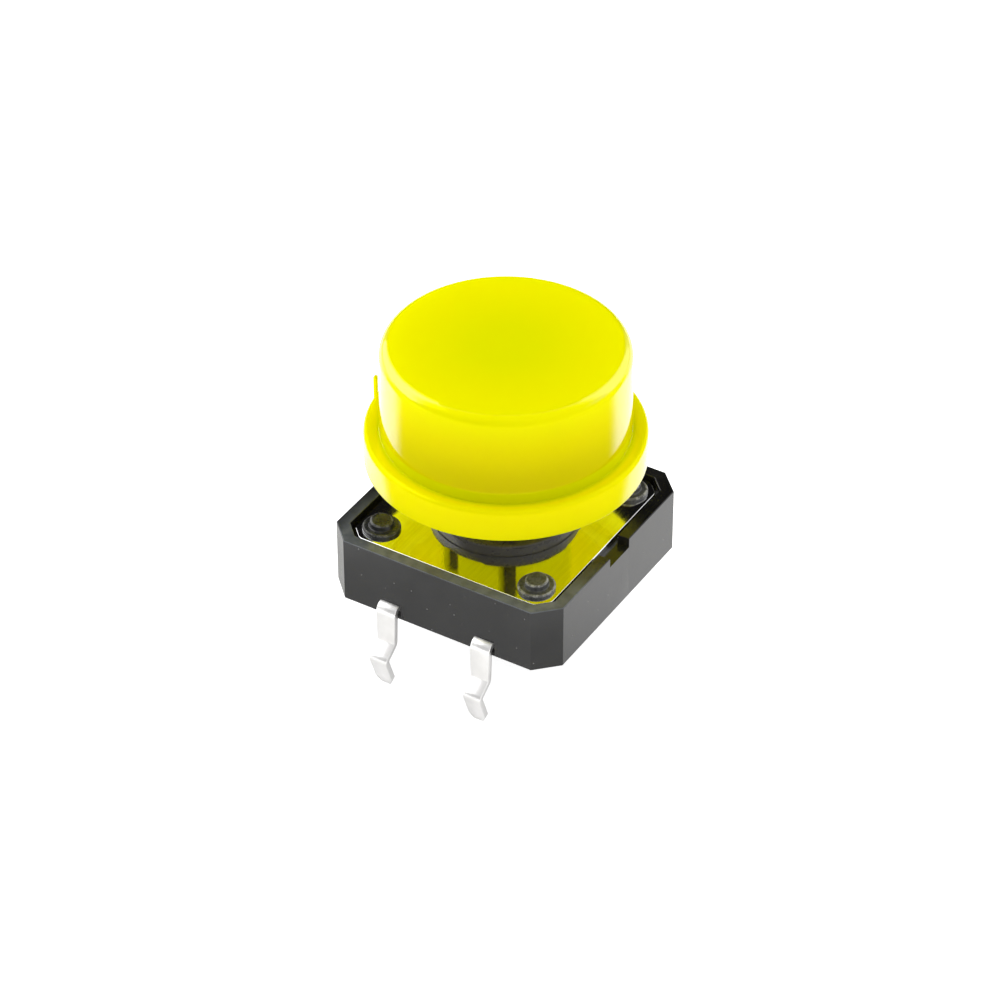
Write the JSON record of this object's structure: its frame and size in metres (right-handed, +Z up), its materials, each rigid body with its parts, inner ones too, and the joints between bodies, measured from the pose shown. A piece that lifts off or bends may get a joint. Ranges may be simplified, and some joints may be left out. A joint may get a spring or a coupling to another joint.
{
  "type": "tactile push button switch",
  "caption": "Through-hole tactile push button switch: square black base with kinked leads, bright cover plate, square stem and a push-fit round yellow cap.",
  "frame": {"origin": "centre of the base's underside, which is the plane of the circuit board", "axes": "+Z up along the stem's travel; the lead rows lie along Y on the +X and -X sides; the pry notches are on the +Y and -Y sides"},
  "size_m": [0.0142, 0.0128, 0.0161],
  "materials": {
    "base_plastic": "fine satin moulding",
    "cover_sheet": "mirror-bright sheet",
    "contact_metal": "tin or silver plated, bright satin",
    "spring_steel": "bright spring steel",
    "stem_plastic": "smooth moulding",
    "cap_plastic": "polished moulding"
  },
  "bodies": {
    "switch_body": {"base": "base_plastic", "cover_plate": "cover_sheet", "common_contact": "contact_metal", "centre_contact": "contact_metal", "snap_dome": "spring_steel"},
    "button": {"stem": "stem_plastic", "cap": "cap_plastic"}
  },
  "joints": [
    {"name": "button_press", "type": "slide", "parent": "switch_body", "child": "button", "axis": [0, 0, -1], "range_m": [0, 0.0003], "stiffness_N_per_m": 5300, "deforming": ["snap_dome"]}
  ]
}
